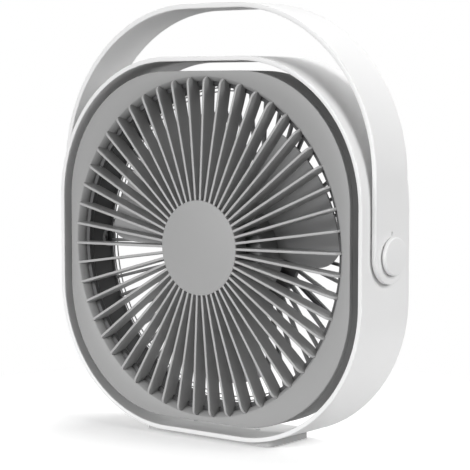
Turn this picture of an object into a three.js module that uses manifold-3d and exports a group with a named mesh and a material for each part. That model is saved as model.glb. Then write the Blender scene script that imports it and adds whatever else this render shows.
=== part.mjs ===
// Desk box fan: a round-cornered outer band with a tilting fan core and a swinging hoop handle.
// Millimetres, +Z up, the grille faces -Y. The origin is on the table, under the middle of the fan.
import * as THREE from 'three';
import { mergeVertices } from 'three/addons/utils/BufferGeometryUtils.js';
import Module from 'manifold-3d';

const wasm = await Module();
wasm.setup();

// ---------------------------------------------------------------- driving sizes
const BAND_WIDTH = 183.5;
const BAND_HEIGHT = 180;
const BAND_DEPTH = 38.4;
const BAND_CORNER_RADIUS = 68.8;
const BAND_WALL = 2.2;
const CORE_GAP = 4.55;          // open air gap between the band and the core
const CORE_DEPTH = 19.85;       // core rim, from the front plate to the rear web
const FIT_GAP = 0.3;            // clearance between pieces that meet
const OVERLAP = 0.5;            // how far two bodies run into one another before they are joined
const DUCT_MARGIN = 6.75;       // between the air duct and the core's top and bottom sides
const WELD_DISTANCE = 1e-5;

// ---------------------------------------------------------------- front grille
const PLATE_RECESS = 0.45;      // plate face behind the band's front edge
const PLATE_THICKNESS = 2;
const FIN_COUNT = 50;
const FIN_PHASE = THREE.MathUtils.degToRad(1.2);
const FIN_THICKNESS = 1.2;
const FIN_PROUD = 2.6;          // fin edges in front of the plate
const FIN_DEPTH = 8.2;
const FIN_END_SLOPE = 2.2;
const LIP_RADIUS = 4.4;          // sloped lip of the air opening
const SKIRT_LENGTH = 2;         // straight part of the opening's wall behind the lip
const CASE_WALL = 1.6;
const HUB_RADIUS = 22.6;
const HUB_CAP_THICKNESS = 1.4;
const HUB_CAP_PROUD = 0.2;      // cap face in front of the fin edges
const HUB_PEG_RADIUS = 3;
const HUB_PEG_LENGTH = 4;

// ---------------------------------------------------------------- handle and pivots
const HANDLE_CLEARANCE = 0.55;  // between the band's side and the handle arm
const HANDLE_THICKNESS = 2.5;
const HANDLE_WIDTH = 25.4;
const HANDLE_RISE = 22.7;       // inner top of the hoop above the band
const HANDLE_CORNER_EXTRA = 9.2;
const AXLE_RADIUS = 4.7;
const AXLE_BORE_RADIUS = 2.4;
const AXLE_FLANGE_LIP = 1.3;
const AXLE_FLANGE_THICKNESS = 1.2;
const PIVOT_BOSS_WALL = 0.9;
const SPACER_WALL = 3;
const KNOB_RADIUS = 8.6;
const KNOB_THICKNESS = 2.3;
const KNOB_EDGE = 0.6;
const KNOB_SHAFT_RADIUS = 2;
const TICK_WIDTH = 0.5;
const TICK_HEIGHT = 1.8;
const TICK_DEPTH = 0.4;

// ---------------------------------------------------------------- foot
const FOOT_HEIGHT = 2;
const FOOT_WIDTH = 77;
const FOOT_INSET = 4;           // foot edge behind the band's front and back edges
const FOOT_EDGE_RADIUS = 3;
const FOOT_BLANK_HEIGHT = 8;    // the foot is cut from this to follow the band's corners
const SCREW_RADIUS = 1.3;
const SCREW_HEAD_RADIUS = 2.6;
const SCREW_HEAD_HEIGHT = 1.4;

// ---------------------------------------------------------------- rear grille
const SLAT_THICKNESS = 1.3;
const SLAT_DEPTH = 2.6;
const REAR_DISC_RADIUS = 33.5;
const REAR_RISE = 13;           // slats lean back from the rim to the disc
const REAR_RING_WIDTH = 1.8;
const REAR_RING_THICKNESS = 2;
const EAR_RADIUS = 4.2;
const SCREW_CIRCLE_MARGIN = 8;  // from the duct's outside to the case screws

// ---------------------------------------------------------------- impeller and motor
const BLADE_COUNT = 3;
const BLADE_TIP_CLEARANCE = 10.2;
const BLADE_SPAN_ANGLE = THREE.MathUtils.degToRad(71);
const BLADE_START_ANGLE = THREE.MathUtils.degToRad(-10);
const BLADE_THICKNESS = 1.6;
const BLADE_TIP_DEPTH = 10;
const BLADE_ROOT_DEPTH = 14;
const BLADE_REAR_ROUNDING = 0.14; // share of the span taken off the tip's corner at the rear
const BLADE_FRONT_ROUNDING = 0.07; // and at the front
const BLADE_ROUNDING_POWER = 5;
const BLADE_TIP_THINNING = 0.33;
const BLADE_RADIAL_STEPS = 6;
const BLADE_CHORD_STEPS = 8;
const IMPELLER_HUB_RADIUS = 29;
const IMPELLER_HUB_WALL = 1.8;
const IMPELLER_HUB_LENGTH = 18.5;
const FIN_TO_IMPELLER = 2.6;
const SHAFT_RADIUS = 1.5;
const SHAFT_CLEARANCE = 0.08;
const BEARING_RADIUS = 3.8;
const BEARING_LENGTH = 3;
const BEARING_TUBE_RADIUS = 5.4;
const BEARING_TUBE_LENGTH = 17;
const MOTOR_BASE_RADIUS = 24;
const MOTOR_BASE_THICKNESS = 2;
const MOTOR_SCREW_CIRCLE = 18;
const MOTOR_SCREW_COUNT = 3;
const ROTOR_WALL = 1;
const MAGNET_WALL = 2.4;
const MAGNET_LENGTH = 10;
const MAGNET_SETBACK = 2;       // behind the inside of the impeller's hub face
const STATOR_POLES = 9;
const STATOR_LENGTH = 8;
const STATOR_CORE_RADIUS = 10;
const STATOR_POLE_WIDTH = 4;
const STATOR_SHOE = 2;
const AIR_GAP = 0.6;

// ---------------------------------------------------------------- electrics
const BOARD_HALF_ANGLE = THREE.MathUtils.degToRad(9);
const BOARD_WIDTH = 9;
const BOARD_THICKNESS = 1.2;
const SOCKET_WIDTH = 8.8;
const SOCKET_HEIGHT = 3.2;
const SOCKET_LENGTH = 6.6;
const SOCKET_WALL = 0.6;
const SOCKET_TONGUE_WIDTH = 5.8;
const SOCKET_ANGLE = THREE.MathUtils.degToRad(-31);
const SOCKET_SPACING = 5.9;     // from the duct's outside to the socket's middle
const SWITCH_RADIUS = 5.4;
const SWITCH_THICKNESS = 2.6;
const LEAD_RADIUS = 0.8;
const LEAD_ANGLE = THREE.MathUtils.degToRad(-27.6);
const LEAD_STEPS = 10;
const LEAD_SIDES = 3;
const CLIP_GROOVE = 1.1;

// ---------------------------------------------------------------- levels, about the middle of the band
const SIDES = [-1, 1];
const QUARTERS = [0, 1, 2, 3];
const UNIT_HALF = 0.5;
const HALF_TURN = Math.PI;
const QUARTER_TURN = Math.PI / 2;
const ROUND_STEPS = 12;
const FINE_STEPS = 24;
const RIM_STEPS = 50;
const CORNER_STEPS = 8;
const HANDLE_CORNER_STEPS = 10;

const bandFront = -BAND_DEPTH / 2;
const bandBack = BAND_DEPTH / 2;
const plateFront = bandFront + PLATE_RECESS;
const plateBack = plateFront + PLATE_THICKNESS;
const finFront = plateFront - FIN_PROUD;
const finBack = finFront + FIN_DEPTH;
const capFront = finFront - HUB_CAP_PROUD;
const capBack = capFront + HUB_CAP_THICKNESS;
const coreBack = plateFront + CORE_DEPTH;
const coreInset = BAND_WALL + CORE_GAP;
const coreHalfWidth = BAND_WIDTH / 2 - coreInset;
const coreHalfHeight = BAND_HEIGHT / 2 - coreInset;
const pivotStack = CASE_WALL + AXLE_FLANGE_THICKNESS + SWITCH_THICKNESS + REAR_RING_WIDTH + 4 * FIT_GAP;
const ductRadius = Math.min(coreHalfWidth - pivotStack, coreHalfHeight - DUCT_MARGIN);
const finEndRadius = ductRadius + LIP_RADIUS - OVERLAP;
const skirtBack = plateFront + LIP_RADIUS + SKIRT_LENGTH;
const ringFront = plateBack + FIT_GAP;
const bossInside = ductRadius + REAR_RING_WIDTH + FIT_GAP;
const flangeSeat = coreHalfWidth - CASE_WALL;
const flangeRadius = AXLE_RADIUS + AXLE_FLANGE_LIP;
const pivotBossRadius = flangeRadius + FIT_GAP + PIVOT_BOSS_WALL;
const spacerRadius = AXLE_RADIUS + FIT_GAP + SPACER_WALL;
const postRadius = SCREW_RADIUS + CASE_WALL;
const screwHole = SCREW_RADIUS + FIT_GAP;
const postMeet = (plateBack + coreBack) / 2;
const bandSide = BAND_WIDTH / 2;
const armInside = bandSide + HANDLE_CLEARANCE;
const armOutside = armInside + HANDLE_THICKNESS;
const knobBase = armOutside + FIT_GAP;
const knobFace = knobBase + KNOB_THICKNESS;
const screwAngle = QUARTER_TURN / 2;
const screwCircle = ductRadius + CASE_WALL + SCREW_CIRCLE_MARGIN;
const rearFront = coreBack + FIT_GAP;
const rearRingOutside = ductRadius + REAR_RING_WIDTH;
const slatOutside = ductRadius + REAR_RING_WIDTH / 2;
const discFront = rearFront + REAR_RISE - FIT_GAP;
const discBack = discFront + SLAT_DEPTH + 2 * FIT_GAP;
const leadExit = coreBack - CASE_WALL;
const capShaftReach = flangeSeat - FIT_GAP;
const baseBack = discFront - FIT_GAP;
const baseFront = baseBack - MOTOR_BASE_THICKNESS;
const tubeFront = baseFront - BEARING_TUBE_LENGTH;
const impellerFront = finBack + FIN_TO_IMPELLER;
const impellerBack = impellerFront + IMPELLER_HUB_LENGTH;
const tipRadius = ductRadius - BLADE_TIP_CLEARANCE;
const rotorOutside = IMPELLER_HUB_RADIUS - IMPELLER_HUB_WALL - FIT_GAP;
const magnetInside = rotorOutside - ROTOR_WALL - FIT_GAP - MAGNET_WALL;
const magnetFront = impellerFront + IMPELLER_HUB_WALL + MAGNET_SETBACK;
const shaftFront = impellerFront + IMPELLER_HUB_WALL;
const shaftBack = baseBack - 2 * FIT_GAP;
const clipFront = shaftBack - 2 * CLIP_GROOVE;

// The frame sits on the table under the middle of the whole depth.
const SHIFT_Y = -(capFront + bandBack) / 2;
const LIFT_Z = BAND_HEIGHT / 2 + FOOT_HEIGHT;

// ---------------------------------------------------------------- geometry helpers
function solid(geometry) {
  const bare = geometry.clone();
  bare.deleteAttribute('normal');
  bare.deleteAttribute('uv');
  const welded = mergeVertices(bare, WELD_DISTANCE);
  const vertProperties = new Float32Array(welded.attributes.position.array);
  const triVerts = new Uint32Array(welded.index.array);
  return new wasm.Manifold(new wasm.Mesh({ numProp: 3, vertProperties, triVerts }));
}

function join(first, ...others) {
  return others.reduce((sum, item) => sum.add(item), first);
}

function cut(body, ...tools) {
  return tools.reduce((rest, tool) => rest.subtract(tool), body);
}

function roundedOutline(halfWidth, halfHeight, radius) {
  const shape = new THREE.Shape();
  const x = halfWidth - radius;
  const z = halfHeight - radius;
  shape.moveTo(halfWidth, -z);
  shape.lineTo(halfWidth, z);
  shape.absarc(x, z, radius, 0, QUARTER_TURN);
  shape.lineTo(-x, halfHeight);
  shape.absarc(-x, z, radius, QUARTER_TURN, HALF_TURN);
  shape.lineTo(-halfWidth, -z);
  shape.absarc(-x, -z, radius, HALF_TURN, HALF_TURN + QUARTER_TURN);
  shape.lineTo(x, -halfHeight);
  shape.absarc(x, -z, radius, -QUARTER_TURN, 0);
  return shape;
}

// A shape drawn in X and Z, as a slab from yFront to yBack.
function slab(shape, yFront, yBack, curveSegments = CORNER_STEPS) {
  const geometry = new THREE.ExtrudeGeometry(shape, {
    depth: yBack - yFront,
    bevelEnabled: false,
    curveSegments,
  });
  geometry.rotateX(QUARTER_TURN);
  geometry.translate(0, yBack, 0);
  return solid(geometry);
}

// The band's outline moved inwards, as a slab.
function bandSlab(inset, yFront, yBack) {
  const outline = roundedOutline(
    BAND_WIDTH / 2 - inset,
    BAND_HEIGHT / 2 - inset,
    BAND_CORNER_RADIUS - inset,
  );
  return slab(outline, yFront, yBack);
}

function discY(radius, yFront, yBack, steps = ROUND_STEPS, x = 0, z = 0) {
  const geometry = new THREE.CylinderGeometry(radius, radius, yBack - yFront, steps);
  geometry.translate(x, (yFront + yBack) / 2, z);
  return solid(geometry);
}

function discX(radius, xStart, xEnd, steps = ROUND_STEPS, y = 0, z = 0) {
  const geometry = new THREE.CylinderGeometry(radius, radius, xEnd - xStart, steps);
  geometry.rotateZ(QUARTER_TURN);
  geometry.translate((xStart + xEnd) / 2, y, z);
  return solid(geometry);
}

function discZ(radius, zStart, zEnd, steps = ROUND_STEPS, x = 0, y = 0) {
  const geometry = new THREE.CylinderGeometry(radius, radius, zEnd - zStart, steps);
  geometry.rotateX(QUARTER_TURN);
  geometry.translate(x, y, (zStart + zEnd) / 2);
  return solid(geometry);
}

function block(x0, x1, y0, y1, z0, z1) {
  const geometry = new THREE.BoxGeometry(x1 - x0, y1 - y0, z1 - z0);
  geometry.translate((x0 + x1) / 2, (y0 + y1) / 2, (z0 + z1) / 2);
  return solid(geometry);
}

// A closed profile of [radius, y] corners turned about the Y axis.
function turned(profile, steps) {
  const corners = profile.map(([radius, y]) => new THREE.Vector2(radius, y));
  corners.push(corners[0].clone());
  const geometry = new THREE.LatheGeometry(corners, steps);
  const body = solid(geometry);
  return body.volume() < 0 ? solid(flipped(geometry)) : body;
}

function flipped(geometry) {
  const other = geometry.clone();
  const order = other.index.array;
  for (let corner = 0; corner < order.length; corner += 3) {
    const second = order[corner + 1];
    order[corner + 1] = order[corner + 2];
    order[corner + 2] = second;
  }
  return other;
}

// A flat radial rib: corners are [radius, y], thickness across the radius, turned to its angle.
function radialRib(corners, thickness, angle) {
  const shape = new THREE.Shape(corners.map(([radius, y]) => new THREE.Vector2(radius, y)));
  const geometry = new THREE.ExtrudeGeometry(shape, { depth: thickness, bevelEnabled: false });
  geometry.translate(0, 0, -thickness / 2);
  geometry.rotateY(-angle);
  return solid(geometry);
}

// The corners of a rib with straight ends.
function ribBlock(from, to, yFront, yBack) {
  return [[from, yBack], [to, yBack], [to, yFront], [from, yFront]];
}

const group = new THREE.Group();

const FINISHES = {
  white: { color: 0xf1f1f1, roughness: 0.45, metalness: 0 },
  grey: { color: 0xa2a2a3, roughness: 0.55, metalness: 0 },
  blade: { color: 0x8c8c8e, roughness: 0.5, metalness: 0 },
  rubber: { color: 0x77787a, roughness: 0.8, metalness: 0 },
  steel: { color: 0xc4c6c8, roughness: 0.35, metalness: 1 },
  copper: { color: 0xb5683a, roughness: 0.4, metalness: 1 },
  magnet: { color: 0x3c3c40, roughness: 0.6, metalness: 0.3 },
  board: { color: 0x1f6b3f, roughness: 0.6, metalness: 0 },
  black: { color: 0x26272a, roughness: 0.6, metalness: 0 },
};

function addNode(name, body, finish) {
  const raw = body.getMesh();
  const geometry = new THREE.BufferGeometry();
  geometry.setAttribute('position', new THREE.BufferAttribute(new Float32Array(raw.vertProperties), 3));
  geometry.setIndex(new THREE.BufferAttribute(new Uint32Array(raw.triVerts), 1));
  geometry.translate(0, SHIFT_Y, LIFT_Z);
  geometry.computeVertexNormals();
  const material = new THREE.MeshStandardMaterial(FINISHES[finish]);
  const mesh = new THREE.Mesh(geometry, material);
  mesh.name = name;
  group.add(mesh);
}

// ---------------------------------------------------------------- outer band
function outerBand() {
  const shell = cut(
    bandSlab(0, bandFront, bandBack),
    bandSlab(BAND_WALL, bandFront - OVERLAP, bandBack + OVERLAP),
  );
  const axleHole = discX(AXLE_RADIUS + FIT_GAP, -armInside, armInside);
  const holes = footScrewPlaces().map((x) => discZ(
    SCREW_RADIUS + FIT_GAP,
    -BAND_HEIGHT / 2 - OVERLAP,
    -BAND_HEIGHT / 2 + BAND_WALL + OVERLAP,
    ROUND_STEPS,
    x,
  ));
  return cut(shell, axleHole, ...holes);
}

// ---------------------------------------------------------------- foot under the band
function footScrewPlaces() {
  return [-FOOT_WIDTH / 4, FOOT_WIDTH / 4];
}

function footBar() {
  const outline = new THREE.Shape();
  const halfWidth = FOOT_WIDTH / 2;
  const halfDepth = BAND_DEPTH / 2 - FOOT_INSET;
  const x = halfWidth - FOOT_EDGE_RADIUS;
  const y = halfDepth - FOOT_EDGE_RADIUS;
  outline.absarc(x, y, FOOT_EDGE_RADIUS, 0, QUARTER_TURN);
  outline.absarc(-x, y, FOOT_EDGE_RADIUS, QUARTER_TURN, HALF_TURN);
  outline.absarc(-x, -y, FOOT_EDGE_RADIUS, HALF_TURN, HALF_TURN + QUARTER_TURN);
  outline.absarc(x, -y, FOOT_EDGE_RADIUS, -QUARTER_TURN, 0);
  const bottom = -BAND_HEIGHT / 2 - FOOT_HEIGHT;
  const geometry = new THREE.ExtrudeGeometry(outline, {
    depth: FOOT_BLANK_HEIGHT,
    bevelEnabled: false,
    curveSegments: CORNER_STEPS / 2,
  });
  geometry.translate(0, 0, bottom);
  const under = bandSlab(-FIT_GAP, -BAND_DEPTH, BAND_DEPTH);
  const places = footScrewPlaces();
  const holes = places.map((px) => discZ(
    SCREW_RADIUS + FIT_GAP,
    bottom - OVERLAP,
    bottom + FOOT_BLANK_HEIGHT,
    ROUND_STEPS,
    px,
  ));
  const seats = places.map((px) => discZ(
    SCREW_HEAD_RADIUS + FIT_GAP,
    bottom - OVERLAP,
    bottom + SCREW_HEAD_HEIGHT,
    ROUND_STEPS,
    px,
  ));
  return cut(solid(geometry), under, ...holes, ...seats);
}

function footScrew(x) {
  const headBottom = -BAND_HEIGHT / 2 - FOOT_HEIGHT + FIT_GAP;
  const headTop = headBottom + SCREW_HEAD_HEIGHT - 2 * FIT_GAP;
  const tip = -BAND_HEIGHT / 2 + BAND_WALL;
  return join(
    discZ(SCREW_HEAD_RADIUS, headBottom, headTop, ROUND_STEPS, x),
    discZ(SCREW_RADIUS, headTop - OVERLAP, tip, ROUND_STEPS, x),
  );
}

// ---------------------------------------------------------------- hoop handle
function handleHoop() {
  const top = BAND_HEIGHT / 2 + HANDLE_RISE;
  const radius = Math.min(BAND_CORNER_RADIUS + HANDLE_CORNER_EXTRA, armInside);
  const outline = (offset) => {
    const shape = new THREE.Shape();
    const side = armInside + offset;
    const roof = top + offset;
    const corner = radius + offset;
    shape.moveTo(side, 0);
    shape.lineTo(side, roof - corner);
    shape.absarc(side - corner, roof - corner, corner, 0, QUARTER_TURN);
    shape.absarc(corner - side, roof - corner, corner, QUARTER_TURN, HALF_TURN);
    shape.lineTo(-side, 0);
    return shape;
  };
  const halfWidth = HANDLE_WIDTH / 2;
  const outer = slab(outline(HANDLE_THICKNESS), -halfWidth, halfWidth, HANDLE_CORNER_STEPS);
  const inner = slab(outline(0), -HANDLE_WIDTH, HANDLE_WIDTH, HANDLE_CORNER_STEPS);
  const ends = SIDES.map((side) => discX(
    halfWidth,
    Math.min(side * armInside, side * armOutside),
    Math.max(side * armInside, side * armOutside),
    FINE_STEPS,
  ));
  const floor = block(-armInside, armInside, -HANDLE_WIDTH, HANDLE_WIDTH, -HANDLE_WIDTH, OVERLAP);
  const hoop = join(cut(outer, inner, floor), ...ends);
  const axleHole = discX(AXLE_RADIUS + FIT_GAP, -knobFace, knobFace);
  const tickBottom = KNOB_RADIUS + TICK_WIDTH;
  const tick = block(
    armOutside - TICK_DEPTH,
    knobFace,
    -TICK_WIDTH / 2,
    TICK_WIDTH / 2,
    tickBottom,
    tickBottom + TICK_HEIGHT,
  );
  return cut(hoop, axleHole, tick);
}

// ---------------------------------------------------------------- core housing
function screwPlaces() {
  return QUARTERS.map((turn) => {
    const angle = screwAngle + turn * QUARTER_TURN;
    return [screwCircle * Math.cos(angle), screwCircle * Math.sin(angle)];
  });
}

// A cylinder along X on one side of the fan, between two distances from the middle.
function sideDisc(side, radius, from, to, steps = ROUND_STEPS) {
  return discX(radius, Math.min(side * from, side * to), Math.max(side * from, side * to), steps);
}

function coreRing() {
  const wall = cut(
    bandSlab(coreInset, ringFront, coreBack),
    bandSlab(coreInset + CASE_WALL, ringFront - OVERLAP, coreBack - CASE_WALL),
    discY(ductRadius, coreBack - CASE_WALL - OVERLAP, coreBack + OVERLAP, RIM_STEPS),
  );
  const duct = cut(
    discY(ductRadius + CASE_WALL, skirtBack + FIT_GAP, coreBack, RIM_STEPS),
    discY(ductRadius, skirtBack - OVERLAP, coreBack + OVERLAP, RIM_STEPS),
  );
  const bosses = SIDES.map((side) => sideDisc(side, pivotBossRadius, bossInside, coreHalfWidth));
  const places = screwPlaces();
  const posts = places.map(([x, z]) => discY(
    postRadius,
    postMeet + FIT_GAP,
    coreBack - OVERLAP,
    ROUND_STEPS,
    x,
    z,
  ));
  const body = join(wall, duct, ...bosses, ...posts);
  const screwHoles = places.map(([x, z]) => discY(
    screwHole,
    plateBack,
    coreBack + OVERLAP,
    ROUND_STEPS,
    x,
    z,
  ));
  const bores = SIDES.map((side) => sideDisc(side, AXLE_RADIUS + FIT_GAP, flangeSeat - OVERLAP, armInside));
  const pockets = SIDES.map((side) => sideDisc(
    side,
    flangeRadius + FIT_GAP,
    bossInside - OVERLAP,
    flangeSeat,
  ));
  const ductPlug = discY(ductRadius + CASE_WALL, plateFront, coreBack, RIM_STEPS);
  const screwWindow = sideDisc(-1, SCREW_HEAD_RADIUS + 2 * FIT_GAP, ductRadius - LIP_RADIUS, flangeSeat);
  const [socketX, socketZ] = socketPlace();
  const socketHole = block(
    socketX - SOCKET_WIDTH / 2 - FIT_GAP,
    socketX + SOCKET_WIDTH / 2 + FIT_GAP,
    coreBack - 2 * CASE_WALL,
    coreBack + OVERLAP,
    socketZ - SOCKET_HEIGHT / 2 - FIT_GAP,
    socketZ + SOCKET_HEIGHT / 2 + FIT_GAP,
  );
  const leadHole = radialRod(
    LEAD_RADIUS + FIT_GAP,
    ductRadius - OVERLAP,
    ductRadius + LIP_RADIUS,
    leadExit,
    LEAD_ANGLE,
  );
  const pocketCuts = pockets.map((pocket) => pocket.subtract(ductPlug));
  return cut(body, ...bores, ...pocketCuts, screwWindow, socketHole, leadHole, ...screwHoles);
}

function radialRod(radius, from, to, y, angle) {
  const geometry = new THREE.CylinderGeometry(radius, radius, to - from, ROUND_STEPS);
  geometry.rotateZ(-QUARTER_TURN);
  geometry.translate((from + to) / 2, y, 0);
  geometry.rotateY(-angle);
  return solid(geometry);
}

// ---------------------------------------------------------------- front grille
function frontGrille() {
  const lipOutside = ductRadius + LIP_RADIUS;
  const lip = [
    [lipOutside, plateFront],
    [ductRadius, plateFront + LIP_RADIUS],
    [ductRadius, skirtBack],
    [ductRadius + CASE_WALL, skirtBack],
    [ductRadius + CASE_WALL, plateBack],
    [lipOutside + 2 * OVERLAP, plateBack],
    [lipOutside + 2 * OVERLAP, plateFront],
  ];
  const plate = bandSlab(coreInset, plateFront, plateBack);
  const opening = discY(lipOutside + OVERLAP, plateFront - OVERLAP, plateBack + OVERLAP, RIM_STEPS);
  const bossFront = capBack + FIT_GAP;
  const bossRadius = HUB_RADIUS - FIT_GAP;
  const boss = cut(
    discY(bossRadius, bossFront, finBack, RIM_STEPS),
    discY(bossRadius - 2 * CASE_WALL, bossFront + CASE_WALL, finBack + OVERLAP, FINE_STEPS),
    discY(HUB_PEG_RADIUS + FIT_GAP, bossFront - OVERLAP, finBack),
  );
  const fin = finProfile(bossRadius - CASE_WALL, bossFront);
  const fins = [];
  for (let index = 0; index < FIN_COUNT; index += 1) {
    fins.push(radialRib(fin, FIN_THICKNESS, FIN_PHASE + (index * 2 * HALF_TURN) / FIN_COUNT));
  }
  const places = screwPlaces();
  const posts = places.map(([x, z]) => discY(postRadius, plateBack - OVERLAP, postMeet, ROUND_STEPS, x, z));
  const pilots = places.map(([x, z]) => discY(screwHole, plateBack, postMeet + OVERLAP, ROUND_STEPS, x, z));
  return cut(join(cut(plate, opening), turned(lip, RIM_STEPS), boss, ...posts, ...fins), ...pilots);
}

// One fin seen from its side: [radius, y] corners with a sloped outer end.
function finProfile(inside, bossFront) {
  const corners = [
    [inside, finBack],
    [inside, bossFront + OVERLAP],
    [HUB_RADIUS + FIT_GAP, bossFront + OVERLAP],
    [HUB_RADIUS + FIT_GAP, finFront],
    [finEndRadius - FIN_END_SLOPE, finFront],
    [finEndRadius, plateFront + OVERLAP],
    [ductRadius + CASE_WALL / 2, plateFront + LIP_RADIUS],
    [ductRadius + CASE_WALL / 2, finBack],
  ];
  return corners.reverse();
}

function hubCap() {
  return join(
    discY(HUB_RADIUS, capFront, capBack, FINE_STEPS),
    discY(HUB_PEG_RADIUS, capBack - OVERLAP, capBack + HUB_PEG_LENGTH),
  );
}

// ---------------------------------------------------------------- rear grille
function slatLevel(radius) {
  return rearFront + ((slatOutside - radius) * REAR_RISE) / (slatOutside - REAR_DISC_RADIUS);
}

function rearGrille() {
  const ring = turned([
    [ductRadius, rearFront],
    [rearRingOutside, rearFront],
    [rearRingOutside, rearFront + REAR_RING_THICKNESS],
    [ductRadius, rearFront + REAR_RING_THICKNESS],
  ], RIM_STEPS);
  const disc = discY(REAR_DISC_RADIUS, discFront, discBack, RIM_STEPS);
  const slat = [
    [slatOutside, rearFront],
    [slatOutside, rearFront + REAR_RING_THICKNESS - FIT_GAP],
    [REAR_DISC_RADIUS - OVERLAP, discBack - FIT_GAP],
    [REAR_DISC_RADIUS - OVERLAP, slatLevel(REAR_DISC_RADIUS) + FIT_GAP],
  ].reverse();
  const slats = [];
  for (let index = 0; index < FIN_COUNT; index += 1) {
    slats.push(radialRib(slat, SLAT_THICKNESS, FIN_PHASE + (index * 2 * HALF_TURN) / FIN_COUNT));
  }
  const places = screwPlaces();
  const ears = places.map(([x, z]) => discY(
    EAR_RADIUS,
    rearFront,
    rearFront + REAR_RING_THICKNESS,
    ROUND_STEPS,
    x,
    z,
  ));
  const neck = ribBlock(ductRadius + OVERLAP, screwCircle, rearFront, rearFront + REAR_RING_THICKNESS);
  const necks = QUARTERS.map((turn) => radialRib(neck, 2 * EAR_RADIUS, screwAngle + turn * QUARTER_TURN));
  const earHoles = places.map(([x, z]) => {
    return discY(screwHole, rearFront - OVERLAP, discBack, ROUND_STEPS, x, z);
  });
  const motorHoles = motorScrewPlaces().map(([x, z]) => discY(
    screwHole,
    discFront - OVERLAP,
    discBack + OVERLAP,
    ROUND_STEPS,
    x,
    z,
  ));
  return cut(join(ring, disc, ...slats, ...ears, ...necks), ...earHoles, ...motorHoles);
}

// A pan-head screw driven forwards from the back.
function backScrew(x, z, headFront, tip) {
  return join(
    discY(SCREW_HEAD_RADIUS, headFront, headFront + SCREW_HEAD_HEIGHT, ROUND_STEPS, x, z),
    discY(SCREW_RADIUS, tip, headFront + OVERLAP, ROUND_STEPS, x, z),
  );
}

// ---------------------------------------------------------------- motor
function motorScrewPlaces() {
  return Array.from({ length: MOTOR_SCREW_COUNT }, (unused, index) => {
    const angle = QUARTER_TURN + (index * 2 * HALF_TURN) / MOTOR_SCREW_COUNT;
    return [MOTOR_SCREW_CIRCLE * Math.cos(angle), MOTOR_SCREW_CIRCLE * Math.sin(angle)];
  });
}

function motorBase() {
  const flange = discY(MOTOR_BASE_RADIUS, baseFront, baseBack, FINE_STEPS);
  const tube = discY(BEARING_TUBE_RADIUS, tubeFront, baseFront + OVERLAP);
  const bore = discY(BEARING_RADIUS + FIT_GAP, tubeFront - OVERLAP, baseBack + OVERLAP);
  const holes = motorScrewPlaces().map(([x, z]) => discY(
    screwHole,
    baseFront - OVERLAP,
    baseBack + OVERLAP,
    ROUND_STEPS,
    x,
    z,
  ));
  return cut(join(flange, tube), bore, ...holes);
}

function bearing(yFront) {
  return cut(
    discY(BEARING_RADIUS, yFront, yFront + BEARING_LENGTH),
    discY(SHAFT_RADIUS + SHAFT_CLEARANCE, yFront - OVERLAP, yFront + BEARING_LENGTH + OVERLAP),
  );
}

function stator() {
  const yFront = magnetFront + (MAGNET_LENGTH - STATOR_LENGTH) / 2;
  const yBack = yFront + STATOR_LENGTH;
  const core = discY(STATOR_CORE_RADIUS, yFront, yBack);
  const reach = magnetInside - AIR_GAP;
  const poles = [];
  for (let index = 0; index < STATOR_POLES; index += 1) {
    const angle = (index * 2 * HALF_TURN) / STATOR_POLES;
    const arm = ribBlock(STATOR_CORE_RADIUS - OVERLAP, reach - OVERLAP, yFront, yBack);
    const shoe = ribBlock(reach - STATOR_SHOE, reach, yFront, yBack);
    poles.push(radialRib(arm, STATOR_POLE_WIDTH, angle));
    poles.push(radialRib(shoe, 2 * STATOR_POLE_WIDTH, angle));
  }
  const limit = discY(reach, yFront - OVERLAP, yBack + OVERLAP, FINE_STEPS);
  const bore = discY(BEARING_TUBE_RADIUS + FIT_GAP, yFront - OVERLAP, yBack + OVERLAP);
  return cut(join(core, ...poles).intersect(limit), bore);
}

function ringY(outside, inside, yFront, yBack, steps) {
  return cut(discY(outside, yFront, yBack, steps), discY(inside, yFront - OVERLAP, yBack + OVERLAP, steps));
}

function motorShaft() {
  const groove = ringY(
    SHAFT_RADIUS + OVERLAP,
    SHAFT_RADIUS - FIT_GAP,
    clipFront,
    clipFront + CLIP_GROOVE,
    ROUND_STEPS,
  );
  return cut(discY(SHAFT_RADIUS, shaftFront, shaftBack), groove);
}

function shaftClip() {
  const inside = SHAFT_RADIUS + SHAFT_CLEARANCE;
  return ringY(BEARING_RADIUS - FIT_GAP, inside, clipFront, clipFront + CLIP_GROOVE - FIT_GAP, ROUND_STEPS);
}

// ---------------------------------------------------------------- impeller
// A unit box bent into a blade: its X runs along the radius, its Y across the chord, its Z through the wall.
function blade(startAngle) {
  const geometry = new THREE.BoxGeometry(1, 1, 1, BLADE_RADIAL_STEPS, BLADE_CHORD_STEPS, 1);
  const places = geometry.attributes.position;
  const rootRadius = IMPELLER_HUB_RADIUS - IMPELLER_HUB_WALL / 2;
  const reach = tipRadius - rootRadius;
  for (let corner = 0; corner < places.count; corner += 1) {
    const along = places.getX(corner) + UNIT_HALF;
    const across = places.getY(corner) + UNIT_HALF;
    const side = places.getZ(corner);
    const rounding = along ** BLADE_ROUNDING_POWER;
    const rearTrim = BLADE_REAR_ROUNDING * rounding;
    const frontTrim = BLADE_FRONT_ROUNDING * rounding;
    const share = rearTrim + across * (1 - rearTrim - frontTrim);
    const angle = startAngle + share * BLADE_SPAN_ANGLE;
    const radius = rootRadius + along * reach;
    const depth = BLADE_ROOT_DEPTH + along * (BLADE_TIP_DEPTH - BLADE_ROOT_DEPTH);
    const camber = Math.sin(share * HALF_TURN) * BLADE_THICKNESS;
    const level = impellerFront + BLADE_THICKNESS + (1 - share) * depth + camber;
    const thickness = BLADE_THICKNESS * (1 - along * BLADE_TIP_THINNING);
    places.setXYZ(corner, radius * Math.cos(angle), level + side * thickness, radius * Math.sin(angle));
  }
  const body = solid(geometry);
  return body.volume() < 0 ? solid(flipped(geometry)) : body;
}

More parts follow.
